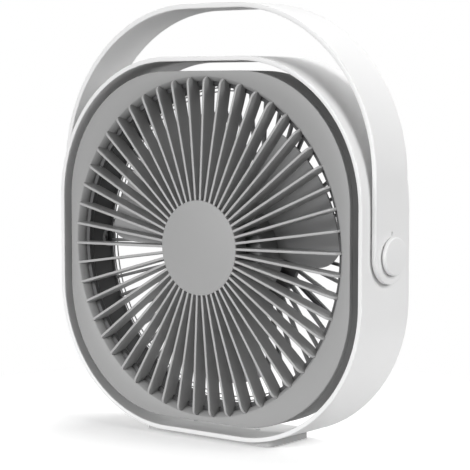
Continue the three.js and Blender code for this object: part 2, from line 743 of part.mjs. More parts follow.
function impeller() {
  const hub = cut(
    discY(IMPELLER_HUB_RADIUS, impellerFront, impellerBack, FINE_STEPS),
    discY(
      IMPELLER_HUB_RADIUS - IMPELLER_HUB_WALL,
      impellerFront + IMPELLER_HUB_WALL,
      impellerBack + OVERLAP,
      FINE_STEPS,
    ),
  );
  const boss = discY(BEARING_RADIUS, impellerFront + OVERLAP, tubeFront - FIT_GAP);
  const blades = [];
  for (let index = 0; index < BLADE_COUNT; index += 1) {
    blades.push(blade(BLADE_START_ANGLE + (index * 2 * HALF_TURN) / BLADE_COUNT));
  }
  const inside = discY(
    IMPELLER_HUB_RADIUS - IMPELLER_HUB_WALL,
    impellerFront + IMPELLER_HUB_WALL,
    discBack,
    FINE_STEPS,
  );
  const cleanBlades = blades.map((item) => item.subtract(inside));
  const shaftSeat = discY(SHAFT_RADIUS + SHAFT_CLEARANCE, shaftFront - FIT_GAP, discBack);
  return cut(join(hub, boss, ...cleanBlades), shaftSeat);
}

// ---------------------------------------------------------------- electrics
function socketPlace() {
  const radius = ductRadius + CASE_WALL + SOCKET_SPACING;
  return [radius * Math.cos(SOCKET_ANGLE), radius * Math.sin(SOCKET_ANGLE)];
}

function usbSocket() {
  const [x, z] = socketPlace();
  const yBack = coreBack;
  const shell = block(
    x - SOCKET_WIDTH / 2,
    x + SOCKET_WIDTH / 2,
    yBack - SOCKET_LENGTH,
    yBack,
    z - SOCKET_HEIGHT / 2,
    z + SOCKET_HEIGHT / 2,
  );
  const mouth = block(
    x - SOCKET_WIDTH / 2 + SOCKET_WALL,
    x + SOCKET_WIDTH / 2 - SOCKET_WALL,
    yBack - SOCKET_LENGTH + 2 * SOCKET_WALL,
    yBack + OVERLAP,
    z - SOCKET_HEIGHT / 2 + SOCKET_WALL,
    z + SOCKET_HEIGHT / 2 - SOCKET_WALL,
  );
  const tongue = block(
    x - SOCKET_TONGUE_WIDTH / 2,
    x + SOCKET_TONGUE_WIDTH / 2,
    yBack - SOCKET_LENGTH + SOCKET_WALL,
    yBack - SOCKET_WALL,
    z - SOCKET_WALL / 2,
    z + SOCKET_WALL / 2,
  );
  return join(cut(shell, mouth), tongue);
}

// A curved board in the corner pocket, between the duct and the case wall.
function controlBoard() {
  const inside = ductRadius + CASE_WALL + 2 * FIT_GAP;
  const outside = inside + BOARD_WIDTH;
  const from = SOCKET_ANGLE - BOARD_HALF_ANGLE;
  const to = SOCKET_ANGLE + BOARD_HALF_ANGLE;
  const shape = new THREE.Shape();
  shape.absarc(0, 0, outside, from, to);
  shape.absarc(0, 0, inside, to, from, true);
  const yBack = coreBack - SOCKET_LENGTH - FIT_GAP;
  return slab(shape, yBack - BOARD_THICKNESS, yBack, CORNER_STEPS);
}

function motorLead() {
  const point = (radius, y) => new THREE.Vector3(
    radius * Math.cos(LEAD_ANGLE),
    y,
    radius * Math.sin(LEAD_ANGLE),
  );
  const rise = LEAD_RADIUS + 2 * FIT_GAP;
  const alongSlat = (radius) => point(radius, slatLevel(radius) - rise);
  const path = new THREE.CatmullRomCurve3([
    point(MOTOR_BASE_RADIUS + 2 * rise, baseFront),
    alongSlat(REAR_DISC_RADIUS),
    alongSlat((REAR_DISC_RADIUS + tipRadius) / 2),
    alongSlat(tipRadius),
    point(ductRadius - rise, leadExit),
    point(ductRadius + CASE_WALL + LEAD_RADIUS, leadExit),
  ]);
  const round = new THREE.Shape();
  round.absarc(0, 0, LEAD_RADIUS, 0, 2 * HALF_TURN);
  const geometry = new THREE.ExtrudeGeometry(round, {
    steps: LEAD_STEPS,
    curveSegments: LEAD_SIDES,
    bevelEnabled: false,
    extrudePath: path,
  });
  const body = solid(geometry);
  return body.volume() < 0 ? solid(flipped(geometry)) : body;
}

// ---------------------------------------------------------------- pivots, switch and knob
function pivotAxle(side) {
  const flangeBack = flangeSeat - FIT_GAP;
  return cut(
    join(
      sideDisc(side, flangeRadius, flangeBack - AXLE_FLANGE_THICKNESS, flangeBack),
      sideDisc(side, AXLE_RADIUS, flangeBack - OVERLAP, armOutside),
    ),
    sideDisc(side, AXLE_BORE_RADIUS, bossInside, knobFace),
  );
}

function spacer(side) {
  return cut(
    sideDisc(side, spacerRadius, coreHalfWidth + FIT_GAP, bandSide - BAND_WALL - FIT_GAP),
    sideDisc(side, AXLE_RADIUS + FIT_GAP, coreHalfWidth, bandSide),
  );
}

// A round cap with a softened rim, on the outside of a handle arm, and a shaft into the axle.
function sideKnob(side, shaftReach) {
  const rim = knobFace - KNOB_EDGE;
  const corners = [[0, knobBase], [KNOB_RADIUS, knobBase], [KNOB_RADIUS, rim]];
  corners.push([KNOB_RADIUS - KNOB_EDGE, knobFace]);
  corners.push([0, knobFace]);
  const outline = corners.map(([radius, x]) => new THREE.Vector2(radius, x));
  const geometry = new THREE.LatheGeometry(outline, FINE_STEPS);
  geometry.rotateZ(-side * QUARTER_TURN);
  const cap = solid(geometry);
  const disc = cap.volume() < 0 ? solid(flipped(geometry)) : cap;
  return disc.add(sideDisc(side, KNOB_SHAFT_RADIUS, shaftReach, knobBase + OVERLAP));
}

function rotarySwitch() {
  const inside = bossInside + FIT_GAP;
  return cut(
    sideDisc(1, SWITCH_RADIUS, inside, inside + SWITCH_THICKNESS),
    sideDisc(1, KNOB_SHAFT_RADIUS + FIT_GAP, inside + SWITCH_THICKNESS / 2, knobFace),
  );
}

function capScrew() {
  const headFace = bossInside + FIT_GAP;
  const headBack = headFace + SCREW_HEAD_HEIGHT;
  return join(
    sideDisc(-1, SCREW_HEAD_RADIUS, headFace, headBack),
    sideDisc(-1, SCREW_RADIUS, headBack - OVERLAP, capShaftReach - FIT_GAP),
  );
}

// ---------------------------------------------------------------- assembly
addNode('outer_band', outerBand(), 'white');
addNode('foot_bar', footBar(), 'rubber');
footScrewPlaces().forEach((x, index) => addNode(`foot_screw_${index + 1}`, footScrew(x), 'steel'));
addNode('handle', handleHoop(), 'white');
addNode('core_ring', coreRing(), 'grey');
addNode('front_grille', frontGrille(), 'grey');
addNode('hub_cap', hubCap(), 'grey');
addNode('rear_grille', rearGrille(), 'grey');
screwPlaces().forEach(([x, z], index) => {
  const headFront = rearFront + REAR_RING_THICKNESS + FIT_GAP;
  addNode(`case_screw_${index + 1}`, backScrew(x, z, headFront, plateBack + FIT_GAP), 'steel');
});
addNode('motor_base', motorBase(), 'steel');
motorScrewPlaces().forEach(([x, z], index) => {
  addNode(`motor_screw_${index + 1}`, backScrew(x, z, discBack + FIT_GAP, baseFront + FIT_GAP), 'steel');
});
addNode('bearing_front', bearing(tubeFront + FIT_GAP), 'steel');
addNode('bearing_rear', bearing(clipFront - FIT_GAP - BEARING_LENGTH), 'steel');
addNode('stator', stator(), 'copper');
addNode('magnet_ring', ringY(
  magnetInside + MAGNET_WALL,
  magnetInside,
  magnetFront,
  magnetFront + MAGNET_LENGTH,
  FINE_STEPS,
), 'magnet');
addNode('rotor_ring', ringY(
  rotorOutside,
  rotorOutside - ROTOR_WALL,
  magnetFront,
  impellerBack - FIT_GAP,
  FINE_STEPS,
), 'steel');
addNode('motor_shaft', motorShaft(), 'steel');
addNode('shaft_clip', shaftClip(), 'steel');
addNode('impeller', impeller(), 'blade');
addNode('control_board', controlBoard(), 'board');
addNode('usb_socket', usbSocket(), 'steel');
addNode('motor_lead', motorLead(), 'black');
addNode('pivot_axle_right', pivotAxle(1), 'steel');
addNode('pivot_axle_left', pivotAxle(-1), 'steel');
addNode('spacer_right', spacer(1), 'black');
addNode('spacer_left', spacer(-1), 'black');
addNode('rotary_switch', rotarySwitch(), 'black');
addNode('speed_knob', sideKnob(1, bossInside + SWITCH_THICKNESS), 'white');
addNode('pivot_cap_left', sideKnob(-1, capShaftReach), 'white');
addNode('pivot_screw_left', capScrew(), 'steel');

export default group;
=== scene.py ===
# %% [markdown]
# # Desk box fan
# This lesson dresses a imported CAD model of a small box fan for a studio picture.
# The CAD parts give every place and size. Blender adds fine meshes, materials, light and a camera.

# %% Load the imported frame
import math

import bmesh
import bpy
from mathutils import Matrix, Vector


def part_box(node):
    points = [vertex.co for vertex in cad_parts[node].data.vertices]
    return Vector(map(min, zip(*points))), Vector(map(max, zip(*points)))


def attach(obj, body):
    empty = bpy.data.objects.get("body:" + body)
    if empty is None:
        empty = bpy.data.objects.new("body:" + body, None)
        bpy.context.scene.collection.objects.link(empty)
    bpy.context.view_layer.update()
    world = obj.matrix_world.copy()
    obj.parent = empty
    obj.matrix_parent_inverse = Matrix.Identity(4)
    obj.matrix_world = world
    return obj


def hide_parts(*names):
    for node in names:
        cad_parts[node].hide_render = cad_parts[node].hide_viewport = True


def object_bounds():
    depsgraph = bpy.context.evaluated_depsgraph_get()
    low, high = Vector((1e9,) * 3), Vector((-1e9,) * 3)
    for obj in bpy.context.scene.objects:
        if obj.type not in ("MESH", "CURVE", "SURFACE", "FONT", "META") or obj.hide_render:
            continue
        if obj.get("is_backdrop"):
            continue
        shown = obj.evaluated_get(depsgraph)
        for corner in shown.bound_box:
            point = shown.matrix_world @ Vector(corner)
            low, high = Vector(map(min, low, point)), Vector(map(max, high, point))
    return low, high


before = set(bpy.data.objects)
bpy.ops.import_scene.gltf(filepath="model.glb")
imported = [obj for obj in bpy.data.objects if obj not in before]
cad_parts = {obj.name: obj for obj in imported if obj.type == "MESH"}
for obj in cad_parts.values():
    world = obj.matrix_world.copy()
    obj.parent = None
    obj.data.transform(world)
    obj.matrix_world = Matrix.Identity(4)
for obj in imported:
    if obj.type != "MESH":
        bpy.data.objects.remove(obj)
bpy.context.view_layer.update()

# %% [markdown]
# ## Camera
# A long lens from the right of the front, a little above the middle, keeps the band's sides nearly
# parallel.
# The camera looks at a point close to the fan's own middle.

# %% Camera
CAMERA_PLACE = Vector((0.51688, -0.64288, 0.16439))
CAMERA_TARGET = Vector((0.005205, 0.001175, 0.097028))
camera = bpy.data.objects.new("camera", bpy.data.cameras.new("camera"))
camera.data.lens = 131.9
camera.data.sensor_width = 36
camera.location = CAMERA_PLACE
camera.rotation_euler = (CAMERA_TARGET - CAMERA_PLACE).to_track_quat("-Z", "Y").to_euler()
bpy.context.scene.collection.objects.link(camera)
bpy.context.scene.camera = camera
print("camera distance", round((CAMERA_TARGET - CAMERA_PLACE).length, 4))

# %% [markdown]
# ## Sizes
# Meshes are drawn in millimetres about the middle of the band, with the grille facing -Y, and then moved
# into the frame. The main levels are read from the CAD boxes, so the pieces land where the CAD parts are.

# %% Sizes
MM = 0.001
band_low, band_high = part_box("outer_band")
CENTRE = (band_low + band_high) / 2
TO_FRAME = Matrix.Translation(CENTRE) @ Matrix.Scale(MM, 4)


def level(node, axis, high):
    """A side of a CAD node's box, in millimetres about the middle of the band."""
    return (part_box(node)[high][axis] - CENTRE[axis]) / MM


HALF_WIDTH = level("outer_band", 0, 1)
HALF_HEIGHT = level("outer_band", 2, 1)
HALF_DEPTH = level("outer_band", 1, 1)
BAND_CORNER = 68.8
BAND_WALL = 2.2
CORE_INSET = 6.75
PLATE_RECESS = 0.45
PLATE_THICKNESS = 2
PLATE_FRONT = -HALF_DEPTH + PLATE_RECESS
PLATE_BACK = PLATE_FRONT + PLATE_THICKNESS
CORE_FRONT = level("core_ring", 1, 0)
CORE_BACK = 1.1
FIN_FRONT = level("front_grille", 1, 0)
FIN_DEPTH = 8.2
FIN_BACK = FIN_FRONT + FIN_DEPTH
DUCT = 76.5
DUCT_WALL = 1.6
LIP = 4.4
ROLL = 2.4
ROLL_DEPTH = 3.6
ROLL_POWER = 1.5
SKIRT_LENGTH = 2
SKIRT_BACK = PLATE_FRONT + LIP + SKIRT_LENGTH
HUB = level("hub_cap", 0, 1)
CAP_FRONT = level("hub_cap", 1, 0)
REAR_FRONT = level("rear_grille", 1, 0)
REAR_BACK = level("rear_grille", 1, 1)
HANDLE_CLEARANCE = 0.55
ARM_INSIDE = HALF_WIDTH + HANDLE_CLEARANCE
ARM_OUTSIDE = level("handle", 0, 1)
HANDLE_HALF = level("handle", 1, 1)
HANDLE_TOP = level("handle", 2, 1)
PIVOT_HOLE = 5.0
FIN_COUNT = 50
FIN_PHASE = math.radians(1.2)
print("band", round(2 * HALF_WIDTH, 2), round(2 * HALF_HEIGHT, 2), "fins from", round(FIN_FRONT, 2))

# %% [markdown]
# ## Shader groups
# Moulded plastic is never quite even. One group gives a fine grain for bump and a slow drift for colour and
# roughness. Another gives plated metal fine streaks for colour, roughness and bump.

# %% Shader groups
def new_group(name, inputs, outputs):
    group = bpy.data.node_groups.new(name, "ShaderNodeTree")
    for label, kind, value in inputs:
        socket = group.interface.new_socket(label, in_out="INPUT", socket_type=kind)
        socket.default_value = value
    for label, kind in outputs:
        group.interface.new_socket(label, in_out="OUTPUT", socket_type=kind)
    start = group.nodes.new("NodeGroupInput")
    end = group.nodes.new("NodeGroupOutput")
    return group, start, end


def noise(tree, vector, scale_from, detail):
    node = tree.nodes.new("ShaderNodeTexNoise")
    node.inputs["Detail"].default_value = detail
    tree.links.new(vector, node.inputs["Vector"])
    if hasattr(scale_from, "links"):
        tree.links.new(scale_from, node.inputs["Scale"])
    else:
        node.inputs["Scale"].default_value = scale_from
    return node.outputs["Fac"]


def remap(tree, value, low, high):
    node = tree.nodes.new("ShaderNodeMapRange")
    tree.links.new(value, node.inputs["Value"])
    for label, source in (("To Min", low), ("To Max", high)):
        if hasattr(source, "links"):
            tree.links.new(source, node.inputs[label])
        else:
            node.inputs[label].default_value = source
    return node.outputs["Result"]


plastic_group, start, end = new_group(
    "MouldedPlastic",
    [
        ("Color", "NodeSocketColor", (0.8, 0.8, 0.8, 1)),
        ("Drift", "NodeSocketFloat", 0.03),
        ("Grain Scale", "NodeSocketFloat", 2600.0),
        ("Roughness", "NodeSocketFloat", 0.45),
    ],
    [("Color", "NodeSocketColor"), ("Roughness", "NodeSocketFloat"), ("Height", "NodeSocketFloat")],
)
place = plastic_group.nodes.new("ShaderNodeTexCoord").outputs["Object"]
drift = noise(plastic_group, place, 28.0, 3)
grain = noise(plastic_group, place, start.outputs["Grain Scale"], 2)
less = plastic_group.nodes.new("ShaderNodeMath")
less.operation = "SUBTRACT"
less.inputs[0].default_value = 1.0
plastic_group.links.new(start.outputs["Drift"], less.inputs[1])
shade = remap(plastic_group, drift, less.outputs[0], 1.0)
tint = plastic_group.nodes.new("ShaderNodeVectorMath")
tint.operation = "SCALE"
plastic_group.links.new(start.outputs["Color"], tint.inputs[0])
plastic_group.links.new(shade, tint.inputs["Scale"])
plastic_group.links.new(tint.outputs[0], end.inputs["Color"])
polish = plastic_group.nodes.new("ShaderNodeMath")
polish.operation = "MULTIPLY_ADD"
plastic_group.links.new(grain, polish.inputs[0])
polish.inputs[1].default_value = 0.12
plastic_group.links.new(start.outputs["Roughness"], polish.inputs[2])
plastic_group.links.new(polish.outputs[0], end.inputs["Roughness"])
plastic_group.links.new(grain, end.inputs["Height"])

brushed_group, start, end = new_group(
    "PlatedMetal",
    [("Color", "NodeSocketColor", (0.6, 0.6, 0.6, 1)), ("Roughness", "NodeSocketFloat", 0.3)],
    [("Color", "NodeSocketColor"), ("Roughness", "NodeSocketFloat"), ("Height", "NodeSocketFloat")],
)
place = brushed_group.nodes.new("ShaderNodeTexCoord").outputs["Object"]
stretch = brushed_group.nodes.new("ShaderNodeMapping")
stretch.inputs["Scale"].default_value = (1.0, 12.0, 1.0)
brushed_group.links.new(place, stretch.inputs["Vector"])
streaks = noise(brushed_group, stretch.outputs["Vector"], 900.0, 3)
shade = remap(brushed_group, streaks, 0.86, 1.04)
tint = brushed_group.nodes.new("ShaderNodeVectorMath")
tint.operation = "SCALE"
brushed_group.links.new(start.outputs["Color"], tint.inputs[0])
brushed_group.links.new(shade, tint.inputs["Scale"])
brushed_group.links.new(tint.outputs[0], end.inputs["Color"])
polish = brushed_group.nodes.new("ShaderNodeMath")
polish.operation = "MULTIPLY_ADD"
brushed_group.links.new(streaks, polish.inputs[0])
polish.inputs[1].default_value = 0.2
brushed_group.links.new(start.outputs["Roughness"], polish.inputs[2])
brushed_group.links.new(polish.outputs[0], end.inputs["Roughness"])
brushed_group.links.new(streaks, end.inputs["Height"])
print("groups", [g.name for g in bpy.data.node_groups])

# %% [markdown]
# ## Materials
# Each material runs one of the groups into a Principled shader. The grain is a tenth of a millimetre or so,
# which shows as a satin sheen rather than as bumps.

# %% Materials
def material(name, group, color, roughness, bump, **settings):
    made = bpy.data.materials.new(name)
    made.use_nodes = True
    tree = made.node_tree
    shader = tree.nodes["Principled BSDF"]
    look = tree.nodes.new("ShaderNodeGroup")
    look.node_tree = group
    look.inputs["Color"].default_value = (*color, 1)
    look.inputs["Roughness"].default_value = roughness
    for label, value in settings.items():
        if label in look.inputs:
            look.inputs[label].default_value = value
        else:
            shader.inputs[label].default_value = value
    tree.links.new(look.outputs["Color"], shader.inputs["Base Color"])
    tree.links.new(look.outputs["Roughness"], shader.inputs["Roughness"])
    relief = tree.nodes.new("ShaderNodeBump")
    relief.inputs["Strength"].default_value = bump
    relief.inputs["Distance"].default_value = 0.00005
    tree.links.new(look.outputs["Height"], relief.inputs["Height"])
    tree.links.new(relief.outputs["Normal"], shader.inputs["Normal"])
    made.diffuse_color = (*color, 1)
    return made


WHITE = material("white_plastic", plastic_group, (0.83, 0.83, 0.83), 0.26, 0.2, **{"Drift": 0.012})
GREY = material("grey_plastic", plastic_group, (0.33, 0.33, 0.33), 0.42, 0.5, **{"Drift": 0.03})
# The fins are the core's grey made lighter: painted light that brightens their front edges and their shaded
# sides.
FIN = material("fin_grey_painted_light", plastic_group, (0.42, 0.42, 0.42), 0.34, 0.4, **{"Drift": 0.03})
CAP = material("hub_plastic", plastic_group, (0.35, 0.35, 0.35), 0.38, 0.4, **{"Drift": 0.02})
BLADE = material("blade_plastic", plastic_group, (0.27, 0.27, 0.272), 0.3, 0.3, **{"Drift": 0.04})
# The slats are the core's grey darkened to about half: painted shade for the shadow inside the grille.
SLAT = material("slat_grey_painted_shade", plastic_group, (0.17, 0.17, 0.172), 0.45, 0.5, **{"Drift": 0.05})
RUBBER = material("foot_rubber", plastic_group, (0.5, 0.5, 0.5), 0.6, 1.0, **{"Drift": 0.08})
# The duct wall and the ledge in front of it take a much darker colour than the rest of the case.
DARK = material("duct_dark_colour", plastic_group, (0.072, 0.072, 0.074), 0.4, 0.5, **{"Drift": 0.05})
BLACK = material("black_plastic", plastic_group, (0.03, 0.03, 0.032), 0.45, 0.5, **{"Drift": 0.1})
BOARD = material("board_green", plastic_group, (0.03, 0.16, 0.07), 0.4, 0.3, **{"Drift": 0.2})
STEEL = material("plated_steel", brushed_group, (0.58, 0.59, 0.6), 0.24, 0.3, Metallic=1.0)
COPPER = material("copper_wire", brushed_group, (0.7, 0.36, 0.2), 0.3, 0.6, Metallic=1.0)
MAGNET = material("dark_magnet", brushed_group, (0.06, 0.06, 0.065), 0.5, 0.4, Metallic=0.2)
print("materials", len(bpy.data.materials))

# %% [markdown]
# ## Mesh helpers
# A loft joins rings of points with quads. Ribs are flat outlines given a thickness and soft edges.
# Every piece ends in the same way: it is moved into the frame, shaded, and tied to its body.

# %% Mesh helpers
def rounded_outline(inset=0.0, half_width=None, half_height=None, corner=BAND_CORNER, steps=36, runs=14):
    """The band's outline moved inwards, as (x, z) points anticlockwise from the right."""
    wide = (half_width or HALF_WIDTH) - inset
    high = (half_height or HALF_HEIGHT) - inset
    radius = corner - inset
    centres = [(wide - radius, high - radius), (radius - wide, high - radius)]
    centres += [(radius - wide, radius - high), (wide - radius, radius - high)]
    points = []
    for quarter, (cx, cz) in enumerate(centres):
        arc = []
        for step in range(steps + 1):
            angle = (quarter + step / steps) * math.pi / 2
            arc.append((cx + radius * math.cos(angle), cz + radius * math.sin(angle)))
        if points:
            points += between(points[-1], arc[0], runs)
        points += arc
    return points + between(points[-1], points[0], runs)


def between(first, last, runs):
    """Points that share out a straight run, without its ends."""
    parts = [k / runs for k in range(1, runs)]
    return [tuple(a + (b - a) * t for a, b in zip(first, last)) for t in parts]


def circle_like(radius, guide):
    """A circle with one point in the direction of each point of another ring."""
    return [(radius * x / math.hypot(x, z), radius * z / math.hypot(x, z)) for x, z in guide]


def at_depth(points, y):
    return [Vector((x, y, z)) for x, z in points]


def fillet(start_angle, centre, radius, steps=5):
    """A quarter circle of (a, b) points about a centre, turning anticlockwise from the angle."""
    angles = [math.radians(start_angle + 90 * k / steps) for k in range(steps + 1)]
    return [(centre[0] + radius * math.cos(a), centre[1] + radius * math.sin(a)) for a in angles]


def loft(rings, closed):
    bm = bmesh.new()
    rows = [[bm.verts.new(p) for p in ring] for ring in rings]
    pairs = list(zip(rows, rows[1:] + rows[:1])) if closed else list(zip(rows, rows[1:]))
    for first, second in pairs:
        for k in range(len(first)):
            n = (k + 1) % len(first)
            bm.faces.new((first[k], first[n], second[n], second[k]))
    return bm


def lathe(profile, steps, axis="Y"):
    """Turns (radius, level) points about the axis. A point on the axis closes the end."""
    rings = []
    for radius, height in profile:
        ring = []
        for k in range(steps):
            angle = 2 * math.pi * k / steps
            a, b = radius * math.cos(angle), radius * math.sin(angle)
            ring.append(Vector((a, height, b)) if axis == "Y" else Vector((height, a, b)))
        rings.append(ring)
    on_axis = profile[0][0] == 0 and profile[-1][0] == 0
    bm = loft(rings, not on_axis)
    bmesh.ops.remove_doubles(bm, verts=bm.verts, dist=1e-5)
    return bm


def rib(profile, thickness, soft):
    """A flat (radius, y) outline with a thickness and rounded edges, standing on the XY plane's middle."""
    bm = bmesh.new()
    face = bm.faces.new([bm.verts.new((r, y, -thickness / 2)) for r, y in profile])
    grown = bmesh.ops.extrude_face_region(bm, geom=[face])
    moved = [v for v in grown["geom"] if isinstance(v, bmesh.types.BMVert)]
    bmesh.ops.translate(bm, verts=moved, vec=(0, 0, thickness))
    rims = [e for e in bm.edges if abs(e.verts[0].co.z - e.verts[1].co.z) < 1e-6]
    bmesh.ops.bevel(bm, geom=rims, offset=soft, segments=3, affect="EDGES", profile=0.5)
    bmesh.ops.remove_doubles(bm, verts=bm.verts, dist=1e-4)
    return bm


def copies(source, turns):
    """One mesh with the source turned about the fan's axis to each angle, and then the source is freed."""
    mesh = bpy.data.meshes.new("copy")
    source.to_mesh(mesh)
    source.free()
    bm = bmesh.new()
    for angle in turns:
        mesh.transform(Matrix.Rotation(-angle, 4, "Y"))
        bm.from_mesh(mesh)
        mesh.transform(Matrix.Rotation(angle, 4, "Y"))
    bpy.data.meshes.remove(mesh)
    return bm


def merge(first, *others):
    for other in others:
        mesh = bpy.data.meshes.new("merge")
        other.to_mesh(mesh)
        other.free()
        first.from_mesh(mesh)
        bpy.data.meshes.remove(mesh)
    return first


def boolean(base, operation, *tools):
    """Joins or cuts closed meshes with Blender's own boolean, one tool at a time."""
    for tool in tools:
        holders = []
        for bm in (base, tool):
            bmesh.ops.recalc_face_normals(bm, faces=bm.faces)
            mesh = bpy.data.meshes.new("solid")
            bm.to_mesh(mesh)
            bm.free()
            holders.append(bpy.data.objects.new("solid", mesh))
            bpy.context.scene.collection.objects.link(holders[-1])
        change = holders[0].modifiers.new("cut", "BOOLEAN")
        change.operation = operation
        change.object = holders[1]
        change.solver = "EXACT"
        graph = bpy.context.evaluated_depsgraph_get()
        result = bpy.data.meshes.new_from_object(holders[0].evaluated_get(graph))
        base = bmesh.new()
        base.from_mesh(result)
        bpy.data.meshes.remove(result)
        for holder in holders:
            old = holder.data
            bpy.data.objects.remove(holder)
            bpy.data.meshes.remove(old)
    return base


LEDGE_REACH = 1.8
WALL_REACH = 0.3
LEDGE_END = 1.2
DARK_START = 0.8


def piece(name, bm, body, look, slot, *nodes, sharp=32, inside=None):
    """Finishes a mesh as a named piece of the fan: shading, material, body and its CAD nodes. The slot is
    not used.
    Faces at the air duct's wall and on the ledge in front of it can take a second, much darker material."""
    if inside:
        bm.normal_update()
        for face in bm.faces:
            middle_point = face.calc_center_median()
            radius = math.hypot(middle_point.x, middle_point.z)
            back = middle_point.y - PLATE_FRONT
            reach = LEDGE_REACH if back < LEDGE_END * LIP else WALL_REACH
            if radius < DUCT + reach and back > DARK_START * LIP:
                face.material_index = 1
    bm.transform(TO_FRAME)
    bmesh.ops.recalc_face_normals(bm, faces=bm.faces)
    for face in bm.faces:
        face.smooth = True
    for edge in bm.edges:
        if len(edge.link_faces) == 2:
            edge.smooth = edge.calc_face_angle() < math.radians(sharp)
    mesh = bpy.data.meshes.new(name)
    bm.to_mesh(mesh)
    bm.free()
    made = bpy.data.objects.new(name, mesh)
    mesh.materials.append(look)
    if inside:
        mesh.materials.append(inside)
    bpy.context.scene.collection.objects.link(made)
    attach(made, body)
    if nodes:
        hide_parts(*nodes)
    print(name, len(mesh.polygons), "faces")
    return made


def rod(axis, radius, start, stop, steps=64, a=0.0, b=0.0):
    """A plain round bar along X or Y, used to join or cut."""
    bm = lathe([(0, start), (radius, start), (radius, stop), (0, stop)], steps, axis)
    shift = Vector((0, a, b)) if axis == "X" else Vector((a, 0, b))
    bmesh.ops.translate(bm, verts=bm.verts, vec=shift)
    return bm


def box_mesh(size, place):
    """A plain block of a size, with its middle at a place, used to cut."""
    bm = bmesh.new()
    bmesh.ops.create_cube(bm, size=1.0)
    bmesh.ops.scale(bm, verts=bm.verts, vec=size)
    bmesh.ops.translate(bm, verts=bm.verts, vec=place)
    return bm


GUIDE = rounded_outline(CORE_INSET)
ALL_TURNS = [FIN_PHASE + 2 * math.pi * k / FIN_COUNT for k in range(FIN_COUNT)]
print("outline points", len(GUIDE))

# %% [markdown]
# ## Outer band
# The band is one moulding: a ring of even wall with softened front and back edges.
# Its section is walked round the outline, and the two pivot holes are cut afterwards.

# %% Outer band
EDGE = 0.45
section = fillet(180, (EDGE, -HALF_DEPTH + EDGE), EDGE)
section += fillet(270, (BAND_WALL - EDGE, -HALF_DEPTH + EDGE), EDGE)
section += fillet(0, (BAND_WALL - EDGE, HALF_DEPTH - EDGE), EDGE)
section += fillet(90, (EDGE, HALF_DEPTH - EDGE), EDGE)
band = loft([at_depth(rounded_outline(inset), y) for inset, y in section], True)
pivot_bar = rod("X", PIVOT_HOLE, -HALF_WIDTH - 1, HALF_WIDTH + 1)
band = boolean(band, "DIFFERENCE", pivot_bar)
piece("band_shell", band, "base", WHITE, "white_shell", "outer_band")

# %% [markdown]
# ## Foot
# The foot is a low rubber bar. Its top follows the round of the band, so it is walked across the fan in X.

# %% Foot
def band_bottom(x):
    """The height of the band's underside over a place on the table."""
    past = max(0.0, abs(x) - (HALF_WIDTH - BAND_CORNER))
    return -(HALF_HEIGHT - BAND_CORNER) - math.sqrt(BAND_CORNER**2 - past**2)


foot_low = level("foot_bar", 2, 0)
foot_half = level("foot_bar", 0, 1)
foot_deep = level("foot_bar", 1, 1)
FOOT_CORNER = 3.0
FOOT_EDGE = 0.5
FOOT_GAP = 0.05


def foot_ring(inset, height):
    points = rounded_outline(inset, foot_half, foot_deep, FOOT_CORNER, 8, 24)
    if height is not None:
        return [Vector((x, y, height)) for x, y in points]
    return [Vector((x, y, band_bottom(x) - FOOT_GAP)) for x, y in points]


rings = [foot_ring(FOOT_EDGE - e, foot_low + FOOT_EDGE - h) for e, h in fillet(270, (0, 0), FOOT_EDGE)]
rings.append(foot_ring(0, None))
foot = loft(rings, False)
foot.verts.ensure_lookup_table()
for ring in (0, len(rings) - 1):
    count = len(rings[0])
    row = foot.verts[ring * count:(ring + 1) * count]
    upper = [v for v in row if v.co.y > 0]
    upper.sort(key=lambda v: v.co.x)
    lower = [v for v in row if v.co.y < 0]
    lower.sort(key=lambda v: v.co.x)
    for k in range(len(upper) - 1):
        foot.faces.new((upper[k], upper[k + 1], lower[k + 1], lower[k]))
bmesh.ops.holes_fill(foot, edges=foot.edges)
piece("foot_pad", foot, "base", RUBBER, "foot_rubber", "foot_bar")

# %% [markdown]
# ## Hoop handle
# The handle is a strap bent over the band. Its section is walked from one pivot over the top to the other.
# At each pivot the strap ends in a half circle: there the section turns like the hand of a clock.
# A short groove above the right-hand pivot marks the knob's place.

# %% Hoop handle
HANDLE_CORNER = 78.0
HANDLE_EDGE = 0.5
ARM_STEPS = 10
BEND_STEPS = 48
TIP_STEPS = 24
TOP_SHARES = (-0.75, -0.5, -0.25, 0.0, 0.25, 0.5, 0.75)
GROOVE_SIZE = (1.4, 0.7, 2.0)
GROOVE_OUT = 0.1
GROOVE_UP = 10.1
thickness = ARM_OUTSIDE - ARM_INSIDE
inner_top = HANDLE_TOP - thickness
strap = fillet(180, (-HANDLE_HALF + HANDLE_EDGE, HANDLE_EDGE), HANDLE_EDGE)
strap += [(0.0, 0.0)]
strap += fillet(270, (HANDLE_HALF - HANDLE_EDGE, HANDLE_EDGE), HANDLE_EDGE)
strap += fillet(0, (HANDLE_HALF - HANDLE_EDGE, thickness - HANDLE_EDGE), HANDLE_EDGE)
strap += [(0.0, thickness)]
strap += fillet(90, (-HANDLE_HALF + HANDLE_EDGE, thickness - HANDLE_EDGE), HANDLE_EDGE)


def strap_point(place, direction, across, out):
    x, z = place
    return Vector((x + direction[0] * out, across, z + direction[1] * out))


